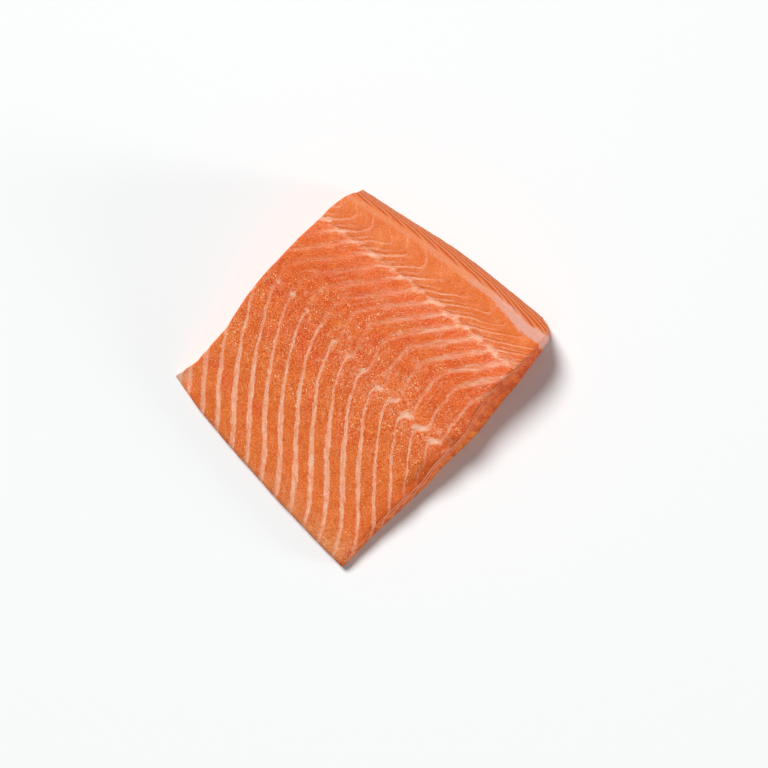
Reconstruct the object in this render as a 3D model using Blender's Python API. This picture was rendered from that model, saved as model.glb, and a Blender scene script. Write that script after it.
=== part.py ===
"""A portion of raw salmon fillet, lying flesh side up: one closed solid, in metres, +Z up.

+X runs along the fish and +Y towards its back. The side of fish is lofted section by section
along the sheets between its muscle flakes, and two knife cuts then take the portion out of it.
"""

import math

import bmesh
import bpy
import numpy as np

MM = 0.001
NAME = "salmon_fillet"

# Driving dimensions, in millimetres. Each pair is a place and the size there.
LOIN_THICKNESS = 30.0
# Share of the way from the belly edge to the ridge of the back, and share of the loin's thickness
THICKNESS = ((0.0, 0.22), (0.06, 0.29), (0.15, 0.36), (0.26, 0.46), (0.38, 0.57), (0.50, 0.69),
             (0.60, 0.79), (0.70, 0.90), (0.80, 0.99), (0.88, 1.0), (0.95, 0.96), (1.0, 0.90))
# The fish thins towards its tail, which lies to -X
TAIL_END = -70.0
HEAD_END = 70.0
TAIL_SHARE = 0.93

# Plan of the portion
BELLY_EDGE = ((-76.0, -54.8), (-66.0, -57.8), (-58.0, -60.1), (-52.0, -62.0), (-46.0, -63.3), (-34.0, -66.1),
              (-23.5, -68.4), (-12.0, -70.6), (8.0, -74.6), (19.0, -76.3), (32.0, -78.5), (46.0, -80.6),
              (60.0, -82.6))
BACK_RIDGE = ((-50.0, 72.6), (-18.0, 74.6), (12.0, 74.6), (46.0, 73.2), (66.0, 71.0), (73.0, 69.6))
BACK_FOOT = ((-56.0, 78.4), (-37.5, 79.3), (-25.0, 79.9), (-13.5, 80.6), (-3.0, 81.3), (8.0, 81.65),
             (18.0, 81.6), (30.0, 81.1), (42.0, 80.5), (56.0, 79.65), (74.0, 78.6))
LEFT_FOOT = ((-57.0, -74.1), (-54.0, -73.1), (-51.0, -71.4), (-48.0, -70.2), (-45.0, -68.2), (-42.0, -66.4),
             (-37.0, -65.6), (-31.0, -64.3), (-19.0, -61.8), (-9.0, -61.2), (0.0, -60.8), (13.0, -59.1),
             (29.0, -55.8), (41.0, -53.3), (52.0, -50.7), (64.0, -48.9), (72.0, -46.9), (75.5, -46.4),
             (79.0, -49.5))
RIGHT_FOOT = ((-84.0, 54.4), (-59.0, 57.8), (-42.0, 61.1), (-31.6, 63.1), (-21.0, 65.0), (-12.5, 65.7),
              (-3.7, 67.2), (4.6, 68.9), (14.4, 70.1), (24.4, 70.6), (34.8, 71.0), (47.0, 72.0), (58.0, 72.3),
              (70.0, 72.4))
BACK_CORNER_RADIUS = 9.0
BACK_CORNER = (62.9, 69.4)
# Middle of the portion in this plan, where the part's frame has its origin
PLAN_MIDDLE = (-0.8, 0.0)

# The knife leaned, so each cut runs towards the tail by this much for each millimetre up
LEFT_SLANT = ((-56.0, 0.0), (-42.0, 0.08), (70.0, 0.12), (79.0, 0.0))
RIGHT_SLANT = ((-84.0, 0.10), (-50.0, 0.18), (-20.0, 0.13), (10.0, 0.11), (24.0, 0.17), (40.0, 0.14), (62.0, 0.0))

# Muscle flakes: the sheets between them run down the fillet in this line, one flake apart
SHEET_START = -12.0
SHEET_LEAN = ((-84.0, 41.0), (-69.0, 36.5), (-57.0, 30.0), (-44.5, 21.7), (-26.0, 10.8), (-8.0, 2.5),
              (4.0, 0.2), (16.0, -0.4), (23.0, -0.4), (29.0, 2.0), (34.5, 7.5), (45.5, 19.6),
              (52.0, 26.5), (57.0, 34.0), (61.0, 40.0), (66.0, 45.0), (69.0, 43.0), (76.0, 38.0))
FLAKE_WIDTH = ((-84.0, 10.1), (-57.0, 10.05), (-27.0, 9.8), (-8.0, 9.55), (4.0, 10.1), (26.0, 10.5),
               (46.0, 10.2), (76.0, 10.2))
FIRST_SHEET = -13
LAST_SHEET = 10
# Share of a flake at which its cross-sections lie, and how far each stands proud of the sheets
FLAKE_SECTIONS = ((0.0, 0.0), (0.14, 0.8), (0.5, 1.0), (0.86, 0.8))
FLAKE_SWELL = ((-84.0, 0.45), (-20.0, 0.50), (6.0, 0.35), (30.0, 0.40), (50.0, 0.45), (66.0, 0.35), (76.0, 0.0))

# Features of the flesh side: a crease along the middle sheet, and a dip and a rolled rim at the right cut
CREASE_LINE = ((-56.0, 55.6), (12.0, 54.7), (70.0, 51.0))
CREASE_DEPTH = 0.5
CREASE_HALF_WIDTH = 2.2
DIP_CENTRE = (66.0, 1.5)
DIP_RADIUS = 6.5
DIP_DEPTH = 2.0
RIM_MIDDLE = -24.0
RIM_HALF_LENGTH = 15.0
RIM_ROLL = 3.0
RIM_REACH = 8.0
# The belly skin draws out to a thin tip at the left corner
TIP = (-73.8, -55.1)
TIP_REACH = 17.0
TIP_THICKNESS = 2.6

# Sections across the fillet. A row and a sheet meet where a few guesses settle
FIRST_GUESS = (-70.0, 70.0)
SETTLING_STEPS = 8
TOP_ROWS = (0.0, 0.02, 0.05, 0.09, 0.13, 0.17, 0.21, 0.25, 0.29, 0.33, 0.37, 0.41, 0.45, 0.485, 0.515, 0.545,
            0.575, 0.605, 0.635, 0.665, 0.695, 0.725, 0.755, 0.785, 0.81, 0.825, 0.84, 0.855, 0.87, 0.89, 0.91,
            0.93, 0.955, 0.98, 1.0)
BELLY_ROUND = 2.4
# How far in from the belly edge, and what share of the edge's thickness up
BELLY_RIM = ((2.0, 0.0), (0.5, 0.16), (0.0, 0.42), (0.5, 0.74))
# Share of the way out from ridge to foot, and share of the ridge's height
BACK_SIDE = ((0.30, 0.90), (0.58, 0.72), (0.80, 0.50), (0.94, 0.30), (1.0, 0.16), (0.86, 0.05), (0.5, 0.0))

# Knife blocks that take the portion out
KNIFE_REACH = 260.0
KNIFE_HALF_WIDTH = 110.0
KNIFE_BOTTOM = -10.0
KNIFE_TOP = 50.0
KNIFE_STEPS = 44
KNIFE_LAYERS = 3

FLESH_COLOUR = (0.78, 0.165, 0.052, 1.0)
FLESH_ROUGHNESS = 0.35


def along(points, at):
    """Smooth curve through (place, value) points, level beyond both ends."""
    places, values = np.array(points, float).T
    at = np.clip(at, places[0], places[-1])
    steps = np.diff(values) / np.diff(places)
    slopes = np.gradient(values, places)
    slopes[1:-1][steps[1:] * steps[:-1] <= 0] = 0.0
    i = np.clip(np.searchsorted(places, at, side="right") - 1, 0, len(places) - 2)
    gap = places[i + 1] - places[i]
    t = (at - places[i]) / gap
    ease = t * t * (3 - 2 * t)
    bend = gap * (slopes[i] * (1 - t) - slopes[i + 1] * t)
    return values[i] + (values[i + 1] - values[i]) * ease + t * (1 - t) * bend


def bump(distance):
    """One at zero, falling smoothly to nothing at one and beyond."""
    inside = np.clip(1 - np.square(distance), 0, 1)
    return inside * inside


def placed(x, y, z):
    """Point of the plan in the part's own frame, in metres."""
    return (x - PLAN_MIDDLE[0]) * MM, (y - PLAN_MIDDLE[1]) * MM, z * MM


def left_cut(y, z):
    return along(LEFT_FOOT, y) - along(LEFT_SLANT, y) * z


def right_cut(y, z):
    """Where the right cut lies, with the portion's rounded back corner."""
    corner_x, corner_y = BACK_CORNER
    past = np.clip((y - corner_y) / BACK_CORNER_RADIUS, 0, 1)
    rounded = corner_x + BACK_CORNER_RADIUS * math.sqrt(1 - past * past)
    return min(along(RIGHT_FOOT, y), rounded) - along(RIGHT_SLANT, y) * z


def flesh_height(x, y, share):
    """Height of the flesh side, before the flakes are raised."""
    along_fish = np.clip((x - TAIL_END) / (HEAD_END - TAIL_END), 0, 1)
    z = LOIN_THICKNESS * along(THICKNESS, share) * (TAIL_SHARE + (1 - TAIL_SHARE) * along_fish)
    z -= CREASE_DEPTH * bump((y - along(CREASE_LINE, x)) / CREASE_HALF_WIDTH)
    z -= DIP_DEPTH * bump(math.hypot(x - DIP_CENTRE[0], y - DIP_CENTRE[1]) / DIP_RADIUS)
    rim = bump((right_cut(y, z) - x) / RIM_REACH) * bump((y - RIM_MIDDLE) / RIM_HALF_LENGTH)
    z -= RIM_ROLL * rim
    drawn = np.clip(1 - math.hypot(x - TIP[0], y - TIP[1]) / TIP_REACH, 0, 1)
    return z + (TIP_THICKNESS - z) * drawn * drawn * (3 - 2 * drawn)


def plan_point(sheet, share):
    """Where a sheet between flakes crosses a row of the flesh side."""
    y = FIRST_GUESS[0] + (FIRST_GUESS[1] - FIRST_GUESS[0]) * share
    for _ in range(SETTLING_STEPS):
        x = SHEET_START + sheet * along(FLAKE_WIDTH, y) + along(SHEET_LEAN, y)
        low = along(BELLY_EDGE, x) + BELLY_ROUND
        y = low + (along(BACK_RIDGE, x) - low) * share
    return x, y


def section(sheet, swell):
    """Closed cross-section of the side of fish along one sheet, from the belly round over the back."""
    top = []
    for share in TOP_ROWS:
        x, y = plan_point(sheet, share)
        raised = along(FLAKE_SWELL, y) * swell
        top.append((x, y, flesh_height(x, y, share) + raised))
    belly_x, belly_y, belly_z = top[0]
    edge = belly_y - BELLY_ROUND
    rim = [(belly_x, edge + inwards, belly_z * up) for inwards, up in BELLY_RIM]
    ridge_x, ridge_y, ridge_z = top[-1]
    foot = along(BACK_FOOT, ridge_x)
    back = [(ridge_x, ridge_y + (foot - ridge_y) * out, ridge_z * up) for out, up in BACK_SIDE]
    return rim + top + back


def side_of_fish():
    """A stretch of fillet longer than the portion, as one closed mesh."""
    sheets = [(whole + part, swell) for whole in range(FIRST_SHEET, LAST_SHEET)
              for part, swell in FLAKE_SECTIONS]
    sections = [section(*sheet) for sheet in sheets]
    around = len(sections[0])
    mesh = bmesh.new()
    bmesh.ops.create_grid(mesh, x_segments=len(sections) - 1, y_segments=around, size=1.0)
    for vert in mesh.verts:
        column = round((vert.co.x + 1) / 2 * (len(sections) - 1))
        row = round((vert.co.y + 1) / 2 * around)
        vert.co = placed(*sections[column][row % around])
    bmesh.ops.remove_doubles(mesh, verts=mesh.verts, dist=0.01 * MM)
    bmesh.ops.holes_fill(mesh, edges=mesh.edges, sides=0)
    bmesh.ops.recalc_face_normals(mesh, faces=mesh.faces)
    return mesh


def knife_block(cut, outwards):
    """A block whose inner side is the knife's path. Outwards is 1 for the right cut and -1 for the left."""
    mesh = bmesh.new()
    bmesh.ops.create_cube(mesh, size=2.0)
    for axis, cuts in ((1, KNIFE_STEPS - 1), (2, KNIFE_LAYERS - 1)):
        edges = [e for e in mesh.edges if abs(e.verts[0].co[axis] - e.verts[1].co[axis]) > 1.0]
        bmesh.ops.subdivide_edges(mesh, edges=edges, cuts=cuts, use_grid_fill=True)
    for vert in mesh.verts:
        y = vert.co.y * KNIFE_HALF_WIDTH
        z = KNIFE_BOTTOM + (vert.co.z + 1) / 2 * (KNIFE_TOP - KNIFE_BOTTOM)
        inner = vert.co.x * outwards < 0
        vert.co = placed(cut(y, z) if inner else KNIFE_REACH * outwards, y, z)
    bmesh.ops.recalc_face_normals(mesh, faces=mesh.faces)
    return mesh


def add_object(name, mesh, collection):
    data = bpy.data.meshes.new(name)
    mesh.to_mesh(data)
    mesh.free()
    obj = bpy.data.objects.new(name, data)
    collection.objects.link(obj)
    return obj


def new_collection(name):
    collection = bpy.data.collections.new(name)
    bpy.context.scene.collection.children.link(collection)
    return collection


def flesh_material():
    material = bpy.data.materials.new("raw_flesh")
    material.use_nodes = True
    shader = material.node_tree.nodes["Principled BSDF"]
    shader.inputs["Base Color"].default_value = FLESH_COLOUR
    shader.inputs["Roughness"].default_value = FLESH_ROUGHNESS
    shader.inputs["Metallic"].default_value = 0.0
    return material


def main():
    for obj in list(bpy.data.objects):
        bpy.data.objects.remove(obj)
    model = new_collection("raw_salmon_fillet")
    cutters = new_collection("knife_cuts")
    cutters.hide_render = True
    fillet = add_object(NAME, side_of_fish(), model)
    fillet.data.materials.append(flesh_material())
    for name, cut, outwards in (("left_knife", left_cut, -1), ("right_knife", right_cut, 1)):
        knife = add_object(name, knife_block(cut, outwards), cutters)
        knife.hide_render = True
        knife.display_type = "WIRE"
        trim = fillet.modifiers.new(name, "BOOLEAN")
        trim.operation = "DIFFERENCE"
        trim.object = knife
    fillet.data.shade_smooth()


main()
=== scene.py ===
"""The looks of the raw salmon fillet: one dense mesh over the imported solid, in a plain studio.

Sizes are in millimetres. Places are in the plan that the solid is drawn in, with +X along the
fish, +Y towards its back and +Z up. placed() turns them into the part's own frame, in metres.
"""

import math

import bpy
import numpy as np
from mathutils import Matrix, Vector


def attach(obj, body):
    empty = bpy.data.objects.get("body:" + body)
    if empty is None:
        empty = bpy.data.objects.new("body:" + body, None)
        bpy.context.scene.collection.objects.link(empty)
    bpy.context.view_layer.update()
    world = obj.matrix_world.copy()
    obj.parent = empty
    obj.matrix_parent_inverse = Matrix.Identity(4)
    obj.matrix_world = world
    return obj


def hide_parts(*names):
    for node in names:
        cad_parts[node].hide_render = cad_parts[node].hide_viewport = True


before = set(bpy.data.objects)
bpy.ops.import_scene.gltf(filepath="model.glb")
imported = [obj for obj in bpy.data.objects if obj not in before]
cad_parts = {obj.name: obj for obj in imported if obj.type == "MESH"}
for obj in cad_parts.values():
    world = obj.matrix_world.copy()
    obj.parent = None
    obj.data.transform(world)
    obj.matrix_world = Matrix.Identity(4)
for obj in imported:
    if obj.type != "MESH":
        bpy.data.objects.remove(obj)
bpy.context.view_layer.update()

MM = 0.001
NODE = "salmon_fillet"

# The solid's driving dimensions. Each pair is a place and the size there
LOIN_THICKNESS = 30.0
# Share of the way from the belly edge to the ridge of the back, and share of the loin's thickness
THICKNESS = ((0.0, 0.22), (0.06, 0.29), (0.15, 0.36), (0.26, 0.46), (0.38, 0.57), (0.50, 0.69),
             (0.60, 0.79), (0.70, 0.90), (0.80, 0.99), (0.88, 1.0), (0.95, 0.96), (1.0, 0.90))
# The fish thins towards its tail, which lies to -X
TAIL_END = -70.0
HEAD_END = 70.0
TAIL_SHARE = 0.93

# Plan of the portion
BELLY_EDGE = ((-76.0, -54.8), (-66.0, -57.8), (-58.0, -60.1), (-52.0, -62.0), (-46.0, -63.3),
              (-34.0, -66.1), (-23.5, -68.4), (-12.0, -70.6), (8.0, -74.6), (19.0, -76.3),
              (32.0, -78.5), (46.0, -80.6), (60.0, -82.6))
BACK_RIDGE = ((-50.0, 72.6), (-18.0, 74.6), (12.0, 74.6), (46.0, 73.2), (66.0, 71.0), (73.0, 69.6))
BACK_FOOT = ((-56.0, 78.4), (-37.5, 79.3), (-25.0, 79.9), (-13.5, 80.6), (-3.0, 81.3), (8.0, 81.65),
             (18.0, 81.6), (30.0, 81.1), (42.0, 80.5), (56.0, 79.65), (74.0, 78.6))
LEFT_FOOT = ((-57.0, -74.1), (-54.0, -73.1), (-51.0, -71.4), (-48.0, -70.2), (-45.0, -68.2),
             (-42.0, -66.4), (-37.0, -65.6), (-31.0, -64.3), (-19.0, -61.8), (-9.0, -61.2),
             (0.0, -60.8), (13.0, -59.1), (29.0, -55.8), (41.0, -53.3), (52.0, -50.7), (64.0, -48.9),
             (72.0, -46.9), (75.5, -46.4), (79.0, -49.5))
RIGHT_FOOT = ((-84.0, 54.4), (-59.0, 57.8), (-42.0, 61.1), (-31.6, 63.1), (-21.0, 65.0),
              (-12.5, 65.7), (-3.7, 67.2), (4.6, 68.9), (14.4, 70.1), (24.4, 70.6), (34.8, 71.0),
              (47.0, 72.0), (58.0, 72.3), (70.0, 72.4))
BACK_CORNER_RADIUS = 9.0
BACK_CORNER = (62.9, 69.4)
# Middle of the portion in this plan, where the part's frame has its origin
PLAN_MIDDLE = (-0.8, 0.0)
# The knife leaned, so each cut runs towards the tail by this much for each millimetre up
LEFT_SLANT = ((-56.0, 0.0), (-42.0, 0.08), (70.0, 0.12), (79.0, 0.0))
RIGHT_SLANT = ((-84.0, 0.10), (-50.0, 0.18), (-20.0, 0.13), (10.0, 0.11), (24.0, 0.17),
               (40.0, 0.14), (62.0, 0.0))

# The rims, from the underside up: how far in from the belly edge, or share of the way out from ridge
# to foot, and share of the height there
BELLY_ROUND = 2.4
BELLY_RIM = ((2.0, 0.0), (0.5, 0.16), (0.0, 0.42), (0.5, 0.74), (BELLY_ROUND, 1.0))
BACK_SIDE = ((0.5, 0.0), (0.86, 0.05), (1.0, 0.16), (0.94, 0.30), (0.80, 0.50), (0.58, 0.72),
             (0.30, 0.90), (0.0, 1.0))

# Muscle flakes and the sheets between them, which run down the fillet in this line, one flake apart
SHEET_START = -12.0
SHEET_LEAN = ((-84.0, 41.0), (-69.0, 36.5), (-57.0, 30.0), (-44.5, 21.7), (-26.0, 10.8), (-8.0, 2.5),
              (4.0, 0.2), (16.0, -0.4), (23.0, -0.4), (29.0, 2.0), (34.5, 7.5), (45.5, 19.6),
              (52.0, 26.5), (57.0, 34.0), (61.0, 40.0), (66.0, 45.0), (69.0, 43.0), (76.0, 38.0))
FLAKE_WIDTH = ((-84.0, 10.1), (-57.0, 10.05), (-27.0, 9.8), (-8.0, 9.55), (4.0, 10.1), (26.0, 10.5),
               (46.0, 10.2), (76.0, 10.2))
USUAL_FLAKE = 10.0
# How far each sheet runs along the fish for each millimetre down
SHEET_DIP = ((-84.0, 0.2), (-60.0, 0.5), (-40.0, 1.1), (0.0, 2.5))
# The solid's swell of the flakes, and the share of it that this mesh keeps
FLAKE_SWELL = ((-84.0, 0.45), (-20.0, 0.50), (6.0, 0.35), (30.0, 0.40), (50.0, 0.45), (66.0, 0.35),
               (76.0, 0.0))
SWELL_SHOWN = ((-20.0, 1.0), (15.0, 0.6), (30.0, 0.35), (76.0, 0.35))

# Features of the flesh side
CREASE_LINE = ((-56.0, 55.6), (12.0, 54.7), (70.0, 51.0))
CREASE_DEPTH = 0.25
CREASE_HALF_WIDTH = 2.2
DIP_CENTRE = (66.0, 1.5)
DIP_RADIUS = 6.5
DIP_DEPTH = 2.0
RIM_MIDDLE = -24.0
RIM_HALF_LENGTH = 15.0
RIM_ROLL = 3.0
RIM_REACH = 8.0
# The belly skin draws out to a thin tip at the left corner
TIP = (-73.8, -55.1)
TIP_REACH = 17.0
TIP_THICKNESS = 2.6

# The dense mesh: cells along the fish, from belly to back, and up the sides
CELLS_ALONG = 224
CELLS_ACROSS = 236
CELLS_UP = 24
SETTLING_STEPS = 10
# Steps round a coarse cell of the underside, which is two cells wide
COARSE_RING = ((0, 0), (0, 1), (0, 2), (1, 2), (2, 2), (2, 1), (2, 0), (1, 0))
# The knife's edges are rounded this far from the cut and this far down, in so many rounds
EDGE_REACH = 1.6
EDGE_DEPTH = 2.5
EDGE_ROUNDS = 12

# Random wander and grain: height, size of the lumps and seed
SHEET_WANDER = ((0.45, 14.0, 1), (0.38, 4.5, 2), (0.12, 2.0, 3))
LOIN_WANDER = ((2.2, 9.0, 4),)
GRAIN = ((0.06, 1.5, 5), (0.10, 4.0, 6))
WIDTH_WANDER = ((0.25, 7.0, 11), (0.15, 2.5, 12))
# Turns the noise out of line with the fish
NOISE_TURN = np.array(Matrix.Rotation(0.7, 3, "X") @ Matrix.Rotation(0.5, 3, "Z"))

# Relief starts at the first of these thicknesses of flesh and is full at the second
RELIEF_THICKNESS = (3.0, 9.0)
# A point this far below the flesh side starts to be part of a side, and then fully is
SIDE_BELOW = (0.4, 2.0)
# Swell of the flakes on the sides, and how far the sheets lie in there and on the flesh side
SIDE_SWELL = 0.35
SIDE_INSET = 0.2
FLESH_INSET = 0.1

# The sheets kink where a row of small bones once crossed them
BONE_LINE = ((-60.0, 17.5), (-41.0, 15.6), (-30.0, 12.7), (-11.0, 9.6), (-1.0, 7.9), (9.0, 6.0),
             (20.0, 3.3), (32.0, 2.6), (41.5, 0.4), (50.5, 0.0), (62.0, -2.0))
KINK_REACH = 4.0
KINK_SIZE = ((-60.0, 0.3), (-20.0, 0.7), (-5.0, 0.9), (14.0, 1.7), (60.0, 1.8))
# Radius of the knots of fat in that row
BONE_FAT = ((-60.0, 0.0), (-42.0, 0.9), (-28.0, 0.8), (-11.0, 0.9), (5.0, 1.1), (22.0, 1.6),
            (40.0, 1.8), (50.0, 2.2), (62.0, 1.7))
# The loin's threads slant at its head end: by how much, from where and over what width
LOIN_SLANT = 0.9
LOIN_SLANT_START = 54.0
LOIN_SLANT_WIDTH = 11.0

# Pale lines along the sheets, from belly to back: half width, softness of the edge, strength
# and how ragged they are
LINE_HALF_WIDTH = ((-82.0, 0.9), (-70.0, 1.2), (-58.0, 1.5), (-42.0, 1.55), (-30.0, 1.3),
                   (-20.0, 0.95), (-10.0, 0.7), (8.0, 0.7), (18.0, 0.75), (26.0, 1.2), (33.0, 1.9),
                   (48.0, 2.0), (53.0, 1.2), (58.0, 0.85), (63.0, 0.6), (72.0, 0.45))
LINE_BLUR = ((-82.0, 0.7), (-60.0, 0.55), (-20.0, 0.4), (6.0, 0.4), (16.0, 0.5), (28.0, 1.3),
             (50.0, 1.5), (55.0, 0.6), (60.0, 0.4), (70.0, 0.5))
LINE_STRENGTH = ((-82.0, 0.6), (-72.0, 0.85), (-20.0, 0.98), (-8.0, 0.92), (4.0, 0.86), (14.0, 0.68),
                 (22.0, 0.54), (30.0, 0.6), (38.0, 0.72), (50.0, 0.74), (56.0, 0.8), (61.0, 0.6),
                 (65.0, 0.42), (71.0, 0.22))
LINE_RAGGED = ((-82.0, 0.55), (-60.0, 0.4), (-35.0, 0.3), (-10.0, 0.35), (8.0, 0.5), (20.0, 0.7),
               (32.0, 0.65), (50.0, 0.5), (56.0, 0.4), (70.0, 0.4))
# The same half width, softness and strength on the sides
SIDE_LINE = (1.3, 0.9, 0.5)
# How the lines fade towards the tail in the red flesh below the crease
BAND_SHARE = ((-60.0, 0.3), (-20.0, 0.45), (5.0, 0.68), (25.0, 1.0), (60.0, 1.2))

# Pale fat along the ridge of the back: where it starts and ends, along the fish
STRIP_INNER = ((-56.0, 70.3), (-44.0, 71.0), (6.0, 72.5), (26.0, 72.0), (44.0, 70.9), (54.0, 68.6),
               (60.0, 67.2))
STRIP_OUTER = ((-56.0, 73.2), (-44.0, 73.9), (6.0, 76.0), (26.0, 75.8), (46.0, 74.8), (60.0, 73.0),
               (74.0, 72.2))

# From belly to back: how strongly the right cut's streaks, and the painted shade at its edge, show, and how
# many painted glints, bright specks of painted highlight, there are
STREAKED = ((-84.0, 0.25), (-52.0, 0.3), (-40.0, 0.9), (-6.0, 1.0), (8.0, 0.6), (26.0, 0.3),
            (40.0, 0.12), (70.0, 0.0))
PAINTED_GLINT_SHARE = ((-84.0, 0.85), (-70.0, 0.7), (-45.0, 0.4), (-20.0, 0.8), (25.0, 0.85), (45.0, 0.5),
            (58.0, 0.15), (74.0, 0.0))
# Thin skin at the two tips: where, and how far it reaches
SKIN_TIPS = ((TIP[0], TIP[1], 12.0), (-54.5, 77.5, 9.0))

# Colours as they look under the studio's light, in the usual 0 to 255
RIM_FLESH = (228, 134, 76)
BELLY_FLESH = (224, 111, 46)
MIDDLE_FLESH = (226, 106, 49)
RED_FLESH = (231, 103, 43)
DEEP_RED = (222, 84, 42)
WARM_ORANGE = (236, 118, 46)
LOIN_FLESH = (217, 103, 32)
PALE_LOIN = (232, 130, 66)
SIDE_FLESH = (232, 104, 26)
CRIMSON = (214, 70, 20)
# Deeper orange for the dip and the rolled rim by the right cut: partly the flesh's own deeper orange, partly
# painted shade of these hollows
DEEP_ORANGE_AND_HOLLOW_SHADE = (228, 102, 18)
# Painted shade along the right cut's edge, where the top rolls over it
PAINTED_EDGE_SHADE = (196, 80, 22)
# Painted shade in the grooves at the sheets, on the back's outer side
PAINTED_GROOVE_SHADE = (158, 60, 28)
PALE_BAND = (218, 134, 82)
FAT = (244, 162, 124)
CREAM = (252, 202, 174)
STRIP_FAT = (219, 161, 146)
STRIP_ORANGE = (226, 140, 92)
SKIN = (214, 180, 156)
# Painted highlight: the colour of the bright glints on the moist flesh
PAINTED_GLINT = (255, 218, 170)
# What the grain and the sides' strokes multiply a tone's red, green and blue by, and the share of
# each that the back's foot loses
DARK_GRAIN = (0.85, 0.58, 0.32)
LIGHT_GRAIN = (1.19, 1.53, 2.05)
DARK_STROKE = (0.74, 0.5, 0.5)
LIGHT_STROKE = (1.14, 1.62, 1.9)
FOOT_LOSS = (0.35, 0.45, 0.3)
# Bands on the back's outer side: middle as a share of a flake, full and end, strength and colour. The dark
# band, at each sheet, is painted shade in the groove there
BACK_BANDS = ((0.85, 0.05, 0.25, 0.8, PALE_BAND), (0.5, 0.08, 0.22, 0.72, PAINTED_GROOVE_SHADE))
# Streaks along the right cut: mm down from its edge, colour and strength. The dark orange stops down to 0.4
# mm past the edge are painted shade where the top rolls over it; the pale and dark red streaks below are the
# cut's own colour
EDGE_STREAKS_AND_SHADE = ((-7.0, (214, 92, 38), 0.0), (-3.5, (206, 86, 32), 0.7), (0.4, (200, 80, 30), 0.9),
                (1.4, (238, 154, 120), 0.8), (2.3, (238, 154, 120), 0.8), (3.1, (200, 80, 44), 0.8),
                (4.9, (200, 80, 40), 0.7), (5.9, (236, 152, 118), 0.7), (7.0, (232, 146, 112), 0.7),
                (8.2, (206, 84, 42), 0.5), (11.0, (214, 92, 46), 0.25), (14.0, (214, 92, 46), 0.0))
EDGE_FROM = -8.0
EDGE_TO = 15.0

# Camera, as it stood for the photograph: lens, distance from what it looks at, tilt from straight
# down, the bearing from +X that it stood towards, and the way that the picture's right runs
LENS = 85.0
CAMERA_DISTANCE = 906.67
CAMERA_TARGET = (18.8, 6.1, 12.0)
CAMERA_TILT = 10.0
CAMERA_TOWARDS = 25.0
IMAGE_RIGHT = (0.81, 0.586, 0.0)

# Far lights: bearing from +X, height above the floor and softness in degrees, strength and colour
SUNS = {"key_light": (150.0, 54.0, 22.0, 3.3, (1.0, 0.985, 0.975)),
        "fill_light": (25.0, 8.0, 14.0, 1.5, (1.0, 1.0, 1.0))}
SKY_COLOUR = (0.88, 1.0, 1.02, 1.0)
SKY_STRENGTH = 0.18
FLOOR_COLOUR = (0.88, 0.885, 0.89, 1.0)
FLOOR_ROUGHNESS = 0.6
FLOOR_HALF_WIDTH = 3000.0
# The floor lies a hair below the fillet, so that the two faces never meet
FLOOR_DROP = 0.1


def along(points, at):
    """Smooth curve through (place, value) points, level beyond both ends."""
    places, values = np.array(points, float).T
    at = np.clip(at, places[0], places[-1])
    steps = np.diff(values) / np.diff(places)
    slopes = np.gradient(values, places)
    slopes[1:-1][steps[1:] * steps[:-1] <= 0] = 0.0
    i = np.clip(np.searchsorted(places, at, side="right") - 1, 0, len(places) - 2)
    gap = places[i + 1] - places[i]
    t = (at - places[i]) / gap
    ease = t * t * (3 - 2 * t)
    bend = gap * (slopes[i] * (1 - t) - slopes[i + 1] * t)
    return values[i] + (values[i + 1] - values[i]) * ease + t * (1 - t) * bend


def bump(distance):
    """One at zero, falling smoothly to nothing at one and beyond."""
    inside = np.clip(1 - np.square(distance), 0, 1)
    return inside * inside


def rise(low, high, value):
    """Nothing below low, one above high, smooth between."""
    t = np.clip((value - low) / (high - low), 0, 1)
    return t * t * (3 - 2 * t)


def between(start, full, fading, end, value):
    """Nothing before start, one from full to fading, nothing past end."""
    return rise(start, full, value) * (1 - rise(fading, end, value))


def mottle(points, size, seed, cells=48):
    """Smooth random values between -1 and 1, with lumps of about the given size."""
    lattice = np.random.default_rng(seed).uniform(-1, 1, (cells, cells, cells))
    place = points @ NOISE_TURN / size
    corner = np.floor(place).astype(int)
    t = place - corner
    ease = t * t * (3 - 2 * t)
    total = np.zeros(len(points))
    for step in np.ndindex(2, 2, 2):
        weight = np.prod(np.where(step, ease, 1 - ease), axis=1)
        total += weight * lattice[tuple(((corner + step) % cells).T)]
    return total


def layered(points, layers):
    """Sum of mottles, each with its height, size and seed."""
    return sum(height * mottle(points, size, seed) for height, size, seed in layers)


def placed(points):
    """Points of the plan in the part's own frame, in metres."""
    return (points - np.array((*PLAN_MIDDLE, 0.0))) * MM


def left_cut(y, z):
    """Where the left cut lies."""
    return along(LEFT_FOOT, y) - along(LEFT_SLANT, y) * z


def right_cut(y, z):
    """Where the right cut lies, with the portion's rounded back corner."""
    corner_x, corner_y = BACK_CORNER
    past = np.clip((y - corner_y) / BACK_CORNER_RADIUS, 0, 1)
    rounded = corner_x + BACK_CORNER_RADIUS * np.sqrt(1 - past * past)
    return np.minimum(along(RIGHT_FOOT, y), rounded) - along(RIGHT_SLANT, y) * z


def plain_height(x, y, share):
    """Height of the flesh side without its dip and rolled rim."""
    along_fish = np.clip((x - TAIL_END) / (HEAD_END - TAIL_END), 0, 1)
    z = LOIN_THICKNESS * along(THICKNESS, share) * (TAIL_SHARE + (1 - TAIL_SHARE) * along_fish)
    return z - CREASE_DEPTH * bump((y - along(CREASE_LINE, x)) / CREASE_HALF_WIDTH)


def drawn_out(x, y, z):
    """Height once the belly skin has drawn out to its thin tip."""
    drawn = np.clip(1 - np.hypot(x - TIP[0], y - TIP[1]) / TIP_REACH, 0, 1)
    return z + (TIP_THICKNESS - z) * drawn * drawn * (3 - 2 * drawn)


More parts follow.
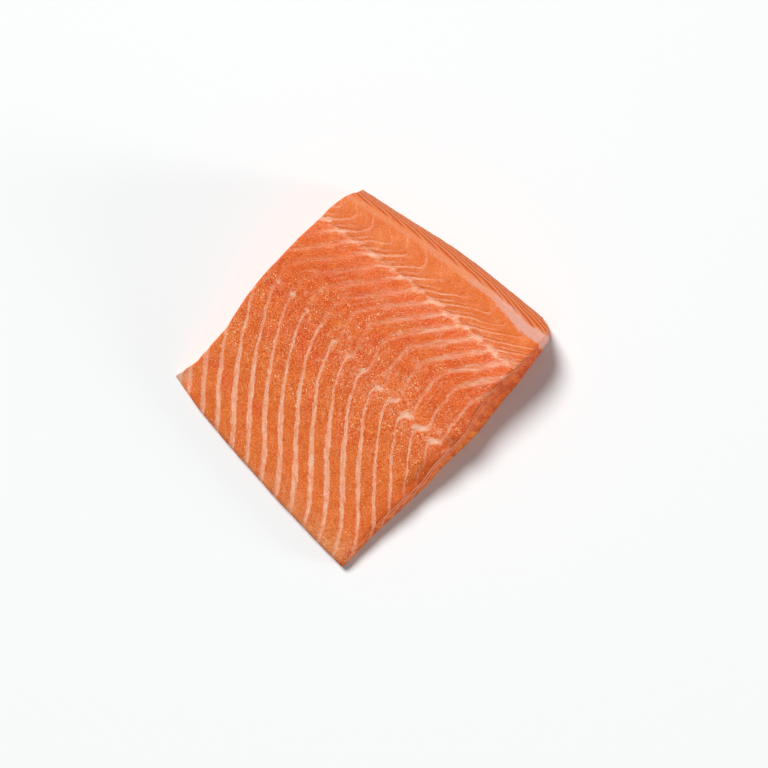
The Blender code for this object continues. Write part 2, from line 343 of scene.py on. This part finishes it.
def flesh_height(x, y, share):
    """Height of the flesh side, before the flakes are raised."""
    z = plain_height(x, y, share)
    z = z - DIP_DEPTH * bump(np.hypot(x - DIP_CENTRE[0], y - DIP_CENTRE[1]) / DIP_RADIUS)
    rim = bump((right_cut(y, z) - x) / RIM_REACH) * bump((y - RIM_MIDDLE) / RIM_HALF_LENGTH)
    return drawn_out(x, y, z - RIM_ROLL * rim)


def share_across(x, y):
    """Share of the way from the belly edge to the ridge of the back."""
    low = along(BELLY_EDGE, x) + BELLY_ROUND
    return np.clip((y - low) / (along(BACK_RIDGE, x) - low), 0, 1)


def flesh_row(share):
    """Line along the flesh side, a share of the way from belly to back: its y and z at any x."""
    def place(x):
        low = along(BELLY_EDGE, x) + BELLY_ROUND
        y = low + (along(BACK_RIDGE, x) - low) * share
        return y, flesh_height(x, y, share)
    return place


def profile_at(profile, part):
    """Point on a rim's profile, a part of the way up it."""
    steps = np.linspace(0, 1, len(profile))
    return [along(tuple(zip(steps, column)), part) for column in zip(*profile)]


def belly_row(part):
    """Line along the belly edge, a part of the way up its rim."""
    inwards, up = profile_at(BELLY_RIM, part)

    def place(x):
        edge = along(BELLY_EDGE, x)
        return edge + inwards, flesh_height(x, edge + BELLY_ROUND, 0.0) * up
    return place


def back_row(part):
    """Line along the outer side of the back, a part of the way up it."""
    out, up = profile_at(BACK_SIDE, part)

    def place(x):
        ridge = along(BACK_RIDGE, x)
        return ridge + (along(BACK_FOOT, x) - ridge) * out, flesh_height(x, ridge, 1.0) * up
    return place


def under_row(part):
    """Line along the underside, a part of the way from belly to back."""
    def place(x):
        ridge = along(BACK_RIDGE, x)
        low = along(BELLY_EDGE, x) + BELLY_RIM[0][0]
        high = ridge + (along(BACK_FOOT, x) - ridge) * BACK_SIDE[0][0]
        return low + (high - low) * part, np.zeros(np.shape(x))
    return place


def settle(part, place):
    """Points whose x lies the given part of the way between the two cuts."""
    x = np.zeros(np.shape(part))
    for _ in range(SETTLING_STEPS):
        y, z = place(x)
        left = left_cut(y, z)
        x = left + (right_cut(y, z) - left) * part
    return np.stack((x, y, z), -1)


def grid(wide, high):
    """Two grids of shares from 0 to 1, with so many cells each way."""
    return np.meshgrid(np.linspace(0, 1, wide + 1), np.linspace(0, 1, high + 1), indexing="ij")


def cut_face(end, cut, flesh, under, belly, back):
    """A cut face stretched between the four edges that meet it, on the knife's path."""
    v, w = grid(CELLS_ACROSS, CELLS_UP)
    v, w = v[..., None], w[..., None]
    upper, lower = flesh[end][:, None], under[end][:, None]
    front, rear = belly[end][None], back[end][None]
    corners = (1 - w) * ((1 - v) * lower[0] + v * lower[-1]) + w * ((1 - v) * upper[0] + v * upper[-1])
    face = (1 - w) * lower + w * upper + (1 - v) * front + v * rear - corners
    face[..., 0] = cut(face[..., 1], face[..., 2])
    face[:, 0], face[:, -1], face[0], face[-1] = under[end], flesh[end], belly[end], back[end]
    return face


def quads(index):
    """Square cells of a grid of point numbers."""
    corners = (index[:-1, :-1], index[1:, :-1], index[1:, 1:], index[:-1, 1:])
    return np.stack(corners, -1).reshape(-1, 4).tolist()


def turned_quads(index):
    """Square cells that face the other way."""
    return [cell[::-1] for cell in quads(index)]


def coarse_cells(index):
    """Cells of two by two steps, facing down. Those at the rim also take the rim's points between."""
    last_i, last_j = index.shape[0] - 1, index.shape[1] - 1

    def is_kept(i, j):
        return (i % 2 == 0 and j % 2 == 0) or i in (0, last_i) or j in (0, last_j)

    cells = []
    for i in range(0, last_i, 2):
        for j in range(0, last_j, 2):
            ring = [(i + across, j + up) for across, up in COARSE_RING]
            cells.append([int(index[point]) for point in ring if is_kept(*point)])
    return cells


def sides():
    """The six sides as grids of points whose edges are shared, each with what makes its cells."""
    u, v = grid(CELLS_ALONG, CELLS_ACROSS)
    flesh, under = settle(u, flesh_row(v)), settle(u, under_row(v))
    u, w = grid(CELLS_ALONG, CELLS_UP)
    belly, back = settle(u, belly_row(w)), settle(u, back_row(w))
    belly[:, -1], back[:, -1] = flesh[:, 0], flesh[:, -1]
    under[:, 0], under[:, -1] = belly[:, 0], back[:, 0]
    left = cut_face(0, left_cut, flesh, under, belly, back)
    right = cut_face(-1, right_cut, flesh, under, belly, back)
    return ((flesh, quads), (belly, quads), (right, quads), (under, coarse_cells),
            (back, turned_quads), (left, turned_quads))


def closed_shape():
    """Points and faces of the whole fillet, before its relief."""
    grids = sides()
    every_point = np.concatenate([side.reshape(-1, 3) for side, _ in grids])
    points, index = np.unique(every_point, axis=0, return_inverse=True)
    index = index.ravel()
    faces = []
    start = 0
    for side, cells_of in grids:
        rows, columns = side.shape[:2]
        faces += cells_of(index[start:start + rows * columns].reshape(rows, columns))
        start += rows * columns
    used = np.unique(np.concatenate([np.array(face) for face in faces]))
    renumber = np.zeros(len(points), int)
    renumber[used] = np.arange(len(used))
    return points[used], [[int(renumber[i]) for i in face] for face in faces]


def linear(colour):
    """Scene-linear colour of one given in the usual 0 to 255."""
    share = np.array(colour, float) / 255
    return np.where(share <= 0.04045, share / 12.92, ((share + 0.055) / 1.055) ** 2.4)


class Fields:
    """What the relief and the material need to know at each point."""

    def __init__(self, points):
        x, y, z = points.T
        self.points = points
        self.x, self.y, self.z = x, y, z
        share = share_across(x, y)
        ridge = along(BACK_RIDGE, x)
        flesh_y = np.clip(y, along(BELLY_EDGE, x) + BELLY_ROUND, ridge)
        top = flesh_height(x, flesh_y, share)
        self.thick = rise(*RELIEF_THICKNESS, top)

        # Millimetres below the flesh side, and shares of the sides, the back's side and the right cut
        self.below = np.maximum(0, top - z)
        self.side = rise(*SIDE_BELOW, self.below)
        self.back = rise(0.4, 1.2, y - ridge) * rise(0.5, 2.0, z) * rise(0.1, 0.8, x - left_cut(y, z))
        self.right = rise(-60, 0, x) * self.side * (1 - self.back)

        # Millimetres from the nearer cut, and down past the right cut's edge, or less than nothing before it
        to_right = np.abs(right_cut(y, z) - x)
        self.to_cut = np.minimum(np.abs(x - left_cut(y, z)), to_right)
        self.past_edge = self.below - to_right

        # Where each point lies between two sheets, in flakes
        self.bone = along(BONE_LINE, x)
        depth = np.maximum(0, drawn_out(x, flesh_y, plain_height(x, flesh_y, share)) - z)
        wander = layered(points, SHEET_WANDER) + layered(points, LOIN_WANDER) * rise(52, 60, y)
        slanting = LOIN_SLANT * np.clip(y - LOIN_SLANT_START, 0, LOIN_SLANT_WIDTH) * rise(5, 40, x)
        off = (y - self.bone) / KINK_REACH
        kink = along(KINK_SIZE, x) * off * np.exp(0.5 - off * off / 2)
        shift = x + along(SHEET_DIP, y) * depth + wander - kink - slanting
        self.phase = (shift - SHEET_START - along(SHEET_LEAN, y)) / along(FLAKE_WIDTH, y)
        self.past_sheet = self.phase - np.round(self.phase)
        self.to_sheet = np.abs(self.past_sheet)


def relief(fields):
    """How far each point stands out from the closed shape."""
    height = along(FLAKE_SWELL, fields.y) * along(SWELL_SHOWN, fields.y)
    swell = height * (1 - (1 - 2 * fields.to_sheet) ** 4) - FLESH_INSET
    side_swell = SIDE_SWELL * np.sqrt(fields.to_sheet * 2) - SIDE_INSET
    out = swell * (1 - fields.side) + side_swell * fields.side + layered(fields.points, GRAIN)
    return out * fields.thick * rise(0, 1.2, fields.z)


def line_form(fields):
    """Half width, softness and strength of the pale line nearest each point."""
    x, y = fields.x, fields.y
    half_width, blur, strength = (along(table, y) for table in (LINE_HALF_WIDTH, LINE_BLUR, LINE_STRENGTH))
    belly = 1 - rise(-20, 0, y)
    half_width = half_width * (1 - 0.35 * belly * rise(30, 50, x))
    strength = strength * (1 - 0.35 * belly * (1 - rise(-66, -50, x)))
    red_band = between(8, 20, 50, 54, y)
    strength = strength * (1 + red_band * (along(BAND_SHARE, x) - 1))
    above_bones = bump((y - fields.bone - 6) / 6) * rise(-15, 5, x)
    strength = strength * (1 - 0.3 * above_bones)
    by_ridge = rise(64, 67, y) * rise(2, 14, x)
    strength = strength * (1 - 0.75 * by_ridge)
    rows = zip((half_width, blur, strength), SIDE_LINE)
    half_width, blur, strength = (row + (side - row) * fields.side for row, side in rows)
    half_width = half_width * (1 + layered(fields.points, WIDTH_WANDER))
    strength = strength * (1 - 0.8 * fields.back) * (1 - 0.55 * fields.right * rise(-10, 10, y))
    return half_width, blur, strength


def streaked(fields):
    """How strongly the streaks along the right cut, and the painted shade at its edge, show."""
    near = rise(EDGE_FROM, EDGE_FROM + 1, fields.past_edge) * (1 - fields.back)
    return along(STREAKED, fields.y) * near * rise(-10, 20, fields.x)


def fat_patches(fields):
    """Millimetres inside the pale patches, less than nothing outside them."""
    points, x, y = fields.points, fields.x, fields.y
    across = fields.past_sheet * along(FLAKE_WIDTH, y)
    up = y - fields.bone
    # The knots of fat are half as long again as high, and lie level in the photograph
    right_x, right_y, _ = IMAGE_RIGHT
    wide = right_x * across + right_y * up
    high = right_x * up - right_y * across
    knot = 1.15 * along(BONE_FAT, x) + 0.5 * mottle(points, 12, seed=21) - np.hypot(wide / 1.5, high)
    knot = knot + 0.8 * mottle(points, 2, seed=24)
    # Where sheets meet the crease, and along the crease itself
    off_crease = np.abs(y - along(CREASE_LINE, x) + 0.7 * mottle(points, 5, seed=22))
    meeting = 1.2 - 0.6 * off_crease - 5.0 * fields.to_sheet + 1.1 * mottle(points, 2.6, seed=23)
    seam = 0.9 * rise(-50, -10, x) + 0.6 * rise(28, 55, x) - 1.05
    seam = seam - 0.45 * off_crease + 0.75 * mottle(points, 3, seed=25)
    return np.maximum(np.maximum(knot, meeting), seam) - 6 * fields.side


def strip_fat(fields):
    """Millimetres inside the strip of fat along the back's ridge, less than nothing outside it."""
    x, y = fields.x, fields.y + 0.35 * mottle(fields.points, 5, seed=31)
    inside = np.minimum(y - along(STRIP_INNER, x), along(STRIP_OUTER, x) - y)
    over_corner = rise(64, 66, x) * fields.side
    return inside + over_corner - rise(3, 6, fields.below) * 6 * (1 - over_corner)


def painted_glints(fields):
    """How many painted glints, bright specks of painted highlight, there are, from none to one."""
    many = along(PAINTED_GLINT_SHARE, fields.y) * (1 + 0.5 * mottle(fields.points, 11, seed=41))
    return np.clip(many, 0, 1) * (1 - fields.side)


def veins(fields):
    """How strongly the loose pale threads show, which gather round the row of small bones."""
    near = bump((fields.y - fields.bone - 3) / 16) * rise(-35, 0, fields.x)
    band = between(18, 30, 50, 56, fields.y) * rise(-20, 30, fields.x)
    return np.maximum(near, 0.7 * band) * (1 - fields.side)


def skin_at_tips(fields):
    """Share of thin greyish skin at the two tips."""
    return np.max([bump(np.hypot(fields.x - x, fields.y - y) / reach) for x, y, reach in SKIN_TIPS], axis=0)


def blended(first, second, share):
    """First colour turned into the second by a share at each point."""
    return first + (second - first) * share[:, None]


def flesh_tone(fields):
    """Plain colour of the flesh at each point, and how strong its grain is."""
    points, x, y = fields.points, fields.x, fields.y
    tone = blended(linear(RIM_FLESH), linear(BELLY_FLESH), rise(-82, -58, y))
    tone = blended(tone, linear(MIDDLE_FLESH), rise(-25, 5, y))
    tone = blended(tone, linear(RED_FLESH), rise(8, 30, y))
    tone = blended(tone, linear(LOIN_FLESH), rise(46, 60, y))

    # Patches of redder, warmer and paler flesh
    redder = rise(0.1, 0.8, mottle(points, 9, seed=51)) * (1 - rise(40, 56, y))
    tone = blended(tone, linear(DEEP_RED), 0.4 * redder)
    warmer = rise(0.0, 0.7, mottle(points, 11, seed=52)) * between(-30, -5, 50, 58, y)
    tone = blended(tone, linear(WARM_ORANGE), 0.4 * warmer)
    paler = rise(0.0, 0.8, mottle(points, 6, seed=53)) * rise(54, 60, y)
    tone = blended(tone, linear(PALE_LOIN), 0.5 * paler)

    # The sides, the dip and rolled rim in a deeper orange that is partly painted shade, the deep flesh of
    # the right cut and painted shade along its edge, where the top rolls over it
    tone = blended(tone, linear(SIDE_FLESH), fields.side)
    # Deeper orange in the dip and along the rolled rim, partly painted shade of these hollows
    dip = bump(np.hypot(x - DIP_CENTRE[0], y - DIP_CENTRE[1]) / (DIP_RADIUS * 1.3))
    rim = bump((right_cut(y, fields.z) - x) / 5) * bump((y - RIM_MIDDLE) / 18)
    tone = blended(tone, linear(DEEP_ORANGE_AND_HOLLOW_SHADE), np.clip(0.9 * dip + 0.8 * rim, 0, 1))
    deep = fields.right * between(12, 30, 62, 70, y)
    tone = blended(tone, linear(CRIMSON), 0.5 * deep)
    # Painted shade in a band along the right cut's edge, where the top rolls over it, and along the belly
    # end
    belly_end = 1 - rise(-50, -40, y)
    painted_edge_shade = between(8, 22, 63, 68, y) + 0.8 * belly_end
    painted_edge_shade = painted_edge_shade * bump((fields.past_edge - 0.2 + 0.8 * belly_end) / 2.4) * rise(-10, 20, x)
    tone = blended(tone, linear(PAINTED_EDGE_SHADE), 0.75 * painted_edge_shade)

    # The back's outer side, which is darker at its foot
    foot = fields.back * (1 - rise(6.5, 9.5, fields.z))
    tone = tone * (1 - 0.16 * fields.back)[:, None] * (1 - foot[:, None] * FOOT_LOSS)
    grainy = 1 + 0.5 * between(-35, -20, 12, 24, y) - 0.4 * rise(52, 60, y)
    return np.column_stack((tone, grainy))


def smooth_edges(points, edges, weight):
    """Rounds the knife's edges by moving each point towards the middle of its neighbours."""
    a, b = edges.T
    size = len(points)
    count = np.bincount(edges.ravel(), minlength=size)[:, None]
    for _ in range(EDGE_ROUNDS):
        sums = [np.bincount(a, row[b], size) + np.bincount(b, row[a], size) for row in points.T]
        points = points + weight[:, None] * 0.5 * (np.stack(sums, -1) / count - points)
    return points


def store(mesh, fields):
    """Stores at the mesh's points what the material reads."""
    doubled = between(53, 56, 60, 63, fields.y)
    vectors = {
        "flake": (fields.phase, doubled, painted_glints(fields)),
        "line": line_form(fields),
        "patch": (fat_patches(fields), strip_fat(fields), fields.back),
        "skin": (skin_at_tips(fields), along(LINE_RAGGED, fields.y), fields.side),
        "edge": (fields.past_edge, streaked(fields), veins(fields))}
    for name, columns in vectors.items():
        stored = mesh.attributes.new(name, "FLOAT_VECTOR", "POINT")
        stored.data.foreach_set("vector", np.stack(columns, -1).ravel())
    stored = mesh.attributes.new("tone", "FLOAT_COLOR", "POINT")
    stored.data.foreach_set("color", flesh_tone(fields).ravel())


def fillet():
    """The fillet as one mesh, with its relief and rounded knife edges."""
    points, faces = closed_shape()
    mesh = bpy.data.meshes.new("fillet_flesh")
    mesh.from_pydata(placed(points).tolist(), [], faces)
    normals = np.zeros(len(points) * 3)
    mesh.vertex_normals.foreach_get("vector", normals)
    edges = np.zeros(len(mesh.edges) * 2, int)
    mesh.edges.foreach_get("vertices", edges)
    fields = Fields(points)
    moved = points + normals.reshape(-1, 3) * relief(fields)[:, None]
    weight = bump(fields.to_cut / EDGE_REACH) * bump(fields.below / EDGE_DEPTH) * fields.thick
    moved = smooth_edges(moved, edges.reshape(-1, 2), weight)
    moved[:, 2] = np.maximum(moved[:, 2], 0)
    mesh.vertices.foreach_set("co", placed(moved).ravel())
    mesh.update()
    mesh.shade_smooth()
    store(mesh, fields)
    piece = bpy.data.objects.new("fillet_flesh", mesh)
    bpy.context.scene.collection.objects.link(piece)
    return piece


def paint(shown):
    """Opaque colour for a node, of one given in the usual 0 to 255."""
    return (*linear(shown), 1.0)


class Shader:
    """Short ways to add and link the nodes of one material."""

    def __init__(self, name):
        self.material = bpy.data.materials.new(name)
        self.material.use_nodes = True
        self.tree = self.material.node_tree
        self.surface = self.tree.nodes["Principled BSDF"]

    def add(self, kind, inputs=(), **settings):
        node = self.tree.nodes.new(kind)
        for key, value in settings.items():
            setattr(node, key, value)
        for key, value in dict(inputs).items():
            self.feed(node, key, value)
        return node

    def feed(self, node, key, value):
        if isinstance(value, bpy.types.NodeSocket):
            self.tree.links.new(value, node.inputs[key])
        else:
            node.inputs[key].default_value = value

    def math(self, operation, *values, clamp=False):
        node = self.add("ShaderNodeMath", enumerate(values), operation=operation, use_clamp=clamp)
        return node.outputs[0]

    def plus(self, first, second, clamp=False):
        return self.math("ADD", first, second, clamp=clamp)

    def minus(self, first, second):
        return self.math("SUBTRACT", first, second)

    def times(self, first, second):
        return self.math("MULTIPLY", first, second)

    def over(self, first, second):
        return self.math("DIVIDE", first, second)

    def larger(self, first, second, clamp=False):
        return self.math("MAXIMUM", first, second, clamp=clamp)

    def off(self, value, middle):
        """How far a value is from the middle, either way."""
        return self.math("ABSOLUTE", self.minus(value, middle))

    def vector(self, *rows):
        return self.add("ShaderNodeCombineXYZ", enumerate(rows)).outputs[0]

    def spread(self, value, low, high, to_low=0.0, to_high=1.0, kind="LINEAR"):
        """Value that goes from to_low to to_high as the given one goes from low to high."""
        inputs = enumerate((value, low, high, to_low, to_high))
        return self.add("ShaderNodeMapRange", inputs, interpolation_type=kind).outputs[0]

    def ramp(self, value, stops):
        """Colour and strength along a value, from (place, colour, strength) stops."""
        node = self.add("ShaderNodeValToRGB", {0: value})
        elements = node.color_ramp.elements
        for number, (place, shown, strength) in enumerate(stops):
            element = elements[number] if number < 2 else elements.new(place)
            element.position = place
            element.color = (*linear(shown), strength)
        return node.outputs

    def mix(self, factor, first, second, kind="MIX"):
        """Mix of two colours. The node's colours are its inputs 6 and 7 and its output 2."""
        inputs = {0: factor, 6: first, 7: second}
        return self.add("ShaderNodeMix", inputs, data_type="RGBA", blend_type=kind).outputs[2]

    def stored(self, name):
        return self.add("ShaderNodeAttribute", attribute_name=name).outputs

    def stored_parts(self, name):
        return self.add("ShaderNodeSeparateXYZ", {0: self.stored(name)["Vector"]}).outputs


class Flesh(Shader):
    """The fillet's flesh, from what store() keeps at the mesh's points. Sizes are in mm."""

    def __init__(self):
        super().__init__("raw_flesh")
        metres = self.add("ShaderNodeTexCoord").outputs["Object"]
        self.place = self.add("ShaderNodeVectorMath", {0: metres, 3: 1 / MM}, operation="SCALE").outputs[0]
        self.x, self.y, self.z = self.add("ShaderNodeSeparateXYZ", {0: self.place}).outputs
        self.phase, self.doubled, self.painted_glints = self.stored_parts("flake")
        self.half_width, self.blur, self.strength = self.stored_parts("line")
        self.patch, self.strip, self.back = self.stored_parts("patch")
        self.skin, self.ragged, self.side = self.stored_parts("skin")
        self.past_edge, self.streaked, self.veined = self.stored_parts("edge")
        tone = self.stored("tone")
        self.tone, self.grainy = tone["Color"], tone["Alpha"]
        self.fuzz = self.times(self.minus(self.noise(1.0, 3.0, self.lengthwise(0.9, 1.5)), 0.5), 2.2)
        self.fine = self.spread(self.noise(0.75, 2.5), 0.36, 0.64)
        self.strokes = self.upright_strokes()

    def noise(self, size, detail, place=None):
        """Noise whose lumps are about the given size."""
        inputs = {"Vector": place or self.place, "Scale": 1 / size, "Detail": detail}
        return self.add("ShaderNodeTexNoise", inputs).outputs["Fac"]

    def lengthwise(self, wide, long):
        """Place that runs along the sheets, for lumps so wide and long."""
        return self.vector(self.times(self.phase, USUAL_FLAKE / wide), self.over(self.y, long),
                           self.over(self.z, long))

    def tinted(self, shares):
        return self.mix(1.0, self.tone, (*shares, 1.0), kind="MULTIPLY")

    def upright_strokes(self):
        """Broad and narrow strokes that run up the sides."""
        upright = self.vector(self.x, self.y, self.over(self.z, 9.0))
        strokes = self.plus(self.noise(1.3, 2.0, upright), self.noise(4.0, 1.0, upright))
        return self.spread(strokes, 0.8, 1.2)

    def stripe_at(self, phase):
        """A pale line with a fuzzy edge, where the given phase is a whole number."""
        distance = self.plus(self.times(self.math("PINGPONG", phase, 0.5), USUAL_FLAKE), self.fuzz)
        inner = self.minus(self.half_width, self.blur)
        outer = self.plus(self.half_width, self.blur)
        return self.spread(distance, inner, outer, 1.0, 0.0, kind="SMOOTHSTEP")

    def lines(self):
        """The pale lines, with gaps, and with a fainter one between them just above the crease."""
        second = self.times(self.stripe_at(self.plus(self.phase, 0.42)), self.times(self.doubled, 0.5))
        gaps = self.noise(1.0, 4.0, self.lengthwise(2.2, 5.0))
        missing = self.times(self.spread(gaps, 0.42, 0.6, 1.0, 0.0), self.ragged)
        stripe = self.larger(self.stripe_at(self.phase), second)
        return self.times(self.times(stripe, self.strength), self.minus(1.0, missing))

    def patches(self):
        """The pale patches, with a fuzzy edge."""
        inside = self.plus(self.patch, self.times(self.fuzz, 2.0))
        return self.spread(inside, -0.8, 0.9, 0.0, 0.92, kind="SMOOTHSTEP")

    def threads(self):
        """Thin pale threads where a noise crosses its middle, broken up by a wider one."""
        thread = self.spread(self.off(self.noise(5.0, 3.0), 0.5), 0.0, 0.035, 0.55, 0.0)
        return self.times(self.times(thread, self.veined), self.spread(self.noise(9.0, 1.0), 0.42, 0.58))

    def fat(self):
        """Pink fat that turns creamy in streaks and in the thick of the patches."""
        creamy = self.spread(self.noise(1.0, 3.0, self.lengthwise(0.8, 2.5)), 0.35, 0.7)
        creamy = self.larger(creamy, self.spread(self.patch, 0.5, 2.0))
        return self.mix(creamy, paint(FAT), paint(CREAM))

    def lean_flesh(self):
        """Flesh with light and dark grain, pale fibres and, on the sides, upright strokes."""
        coarse = self.spread(self.noise(5.0, 4.0), 0.36, 0.64)
        shade = self.plus(self.times(coarse, 0.25), self.times(self.fine, 0.75))
        shade = self.plus(0.5, self.times(self.minus(shade, 0.5), self.grainy))
        flesh = self.mix(shade, self.tinted(DARK_GRAIN), self.tinted(LIGHT_GRAIN))
        fibre = self.noise(1.0, 3.0, self.lengthwise(2.0, 6.0))
        fibre = self.spread(fibre, 0.5, 0.7, 0.0, 0.5, kind="SMOOTHSTEP")
        fibre = self.times(fibre, self.times(self.ragged, self.grainy))
        flesh = self.mix(fibre, flesh, paint(FAT))
        sides = self.mix(self.strokes, self.tinted(DARK_STROKE), self.tinted(LIGHT_STROKE))
        return self.mix(self.times(self.side, 0.85), flesh, sides)

    def marbled(self):
        """Lean flesh with its lines, patches and threads of fat."""
        pale = self.larger(self.lines(), self.patches(), clamp=True)
        pale = self.larger(pale, self.threads())
        return self.mix(pale, self.lean_flesh(), self.fat())

    def banded_back(self):
        """The back's outer side, with a pale band and a band of painted groove shade to each flake."""
        wave = self.math("FRACT", self.plus(self.phase, 0.5))
        banded = self.tone
        for middle, full, end, strength, shown in BACK_BANDS:
            share = self.spread(self.off(wave, middle), full, end, strength, 0.0, kind="SMOOTHSTEP")
            banded = self.mix(share, banded, paint(shown))
        return banded

    def with_strip(self, shown):
        """Adds the strip of fat along the ridge, streaked with orange and paler at its head end."""
        inside = self.plus(self.strip, self.times(self.fuzz, 1.5))
        share = self.spread(inside, -0.9, 1.0, 0.0, 0.93, kind="SMOOTHSTEP")
        share = self.times(share, self.spread(self.x, 0.0, 45.0, 0.6, 1.0))
        along_ridge = self.vector(self.over(self.x, 9.0), self.times(self.y, 1.3), self.times(self.z, 1.3))
        streaks = self.spread(self.noise(1.0, 3.0, along_ridge), 0.35, 0.6, 0.1, 1.0)
        orange = self.plus(streaks, self.spread(self.x, 20.0, 56.0, 0.3, -0.7), clamp=True)
        return self.mix(share, shown, self.mix(orange, paint(STRIP_FAT), paint(STRIP_ORANGE)))

    def with_skin(self, shown):
        """Adds the thin hatched skin at the two tips."""
        hatched = self.spread(self.noise(1.0, 2.0, self.lengthwise(1.1, 6.0)), 0.4, 0.58, 0.35, 1.0)
        return self.mix(self.times(self.skin, hatched), shown, paint(SKIN))

    def with_streaks_and_shade(self, shown):
        """Adds the wavy streaks along the right cut, and the painted shade where the top rolls over its
        edge.
        """
        reach = EDGE_TO - EDGE_FROM
        stops = [((at - EDGE_FROM) / reach, colour, strength) for at, colour, strength in EDGE_STREAKS_AND_SHADE]
        wavy = self.plus(self.past_edge, self.times(self.minus(self.noise(9.0, 2.0), 0.5), 3.0))
        colour, strength = self.ramp(self.spread(wavy, EDGE_FROM, EDGE_TO), stops)
        share = self.times(self.streaked, self.spread(self.strokes, 0.0, 1.0, 0.6, 1.0))
        return self.mix(self.times(share, strength), shown, colour)

    def with_painted_glints(self, shown):
        """Adds painted glints, bright specks of painted highlight, where a noise passes a limit, which is
        lower where they crowd.
        """
        crowded = self.times(self.painted_glints, self.spread(self.noise(6.0, 2.0), 0.36, 0.6, 0.45, 1.0))
        limit = self.spread(crowded, 0.0, 1.0, 0.76, 0.6)
        glint_noise = self.noise(1.0, 1.0, self.lengthwise(0.6, 0.9))
        return self.mix(self.spread(glint_noise, limit, self.plus(limit, 0.08), 0.0, 0.95), shown, paint(PAINTED_GLINT))

    def bumps(self):
        height = self.plus(self.times(self.fine, 0.10), self.times(self.noise(0.5, 2.0), 0.05))
        return self.add("ShaderNodeBump", {"Height": height, "Distance": MM, "Strength": 1.0}).outputs[0]

    def roughness(self):
        """Moist on the flesh side, duller on the sides and along the right cut's edge."""
        moist = self.spread(self.noise(2.0, 2.0), 0.3, 0.7, 0.3, 0.45)
        rough = self.plus(moist, self.times(self.side, 0.25))
        return self.plus(rough, self.spread(self.math("ABSOLUTE", self.past_edge), 1.5, 3.5, 0.25, 0.0))


def raw_flesh():
    """Moist orange flesh with pale lines of fat between its flakes."""
    s = Flesh()
    shown = s.mix(s.back, s.marbled(), s.banded_back())
    for layer in (s.with_strip, s.with_skin, s.with_streaks_and_shade, s.with_painted_glints):
        shown = layer(shown)
    values = {"Base Color": shown, "Roughness": s.roughness(), "Normal": s.bumps(), "IOR": 1.4,
              "Specular IOR Level": 0.3, "Subsurface Weight": 0.15,
              "Subsurface Radius": (1.0, 0.35, 0.15), "Subsurface Scale": 0.003}
    for key, value in values.items():
        s.feed(s.surface, key, value)
    return s.material


def floor():
    mesh = bpy.data.meshes.new("floor")
    half, low = FLOOR_HALF_WIDTH * MM, -FLOOR_DROP * MM
    corners = [(-half, -half, low), (half, -half, low), (half, half, low), (-half, half, low)]
    mesh.from_pydata(corners, [], [(0, 1, 2, 3)])
    obj = bpy.data.objects.new("floor", mesh)
    bpy.context.scene.collection.objects.link(obj)
    s = Shader("pale_floor")
    s.feed(s.surface, "Base Color", FLOOR_COLOUR)
    s.feed(s.surface, "Roughness", FLOOR_ROUGHNESS)
    mesh.materials.append(s.material)


def sun(name, bearing, elevation, softness, strength, shown):
    light = bpy.data.lights.new(name, "SUN")
    light.angle = math.radians(softness)
    light.energy = strength
    light.color = shown
    obj = bpy.data.objects.new(name, light)
    bearing, elevation = math.radians(bearing), math.radians(elevation)
    level = math.cos(elevation)
    way = Vector((level * math.cos(bearing), level * math.sin(bearing), math.sin(elevation)))
    obj.rotation_euler = way.to_track_quat("Z", "Y").to_euler()
    bpy.context.scene.collection.objects.link(obj)


def studio():
    world = bpy.data.worlds.new("studio")
    world.use_nodes = True
    background = world.node_tree.nodes["Background"]
    background.inputs["Color"].default_value = SKY_COLOUR
    background.inputs["Strength"].default_value = SKY_STRENGTH
    scene = bpy.context.scene
    scene.world = world
    scene.view_settings.view_transform = "Standard"
    for name, values in SUNS.items():
        sun(name, *values)


def camera():
    data = bpy.data.cameras.new("camera")
    data.lens = LENS
    tilt, towards = math.radians(CAMERA_TILT), math.radians(CAMERA_TOWARDS)
    back = Vector((math.sin(tilt) * math.cos(towards), math.sin(tilt) * math.sin(towards), math.cos(tilt)))
    up = back.cross(Vector(IMAGE_RIGHT)).normalized()
    right = up.cross(back)
    obj = bpy.data.objects.new("camera", data)
    place = Vector(placed(np.array(CAMERA_TARGET))) + back * CAMERA_DISTANCE * MM
    obj.matrix_world = Matrix.Translation(place) @ Matrix((right, up, back)).transposed().to_4x4()
    bpy.context.scene.collection.objects.link(obj)
    bpy.context.scene.camera = obj


camera()
studio()
floor()
flesh_piece = fillet()
flesh_piece.data.materials.append(raw_flesh())
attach(flesh_piece, "root")
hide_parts(NODE)
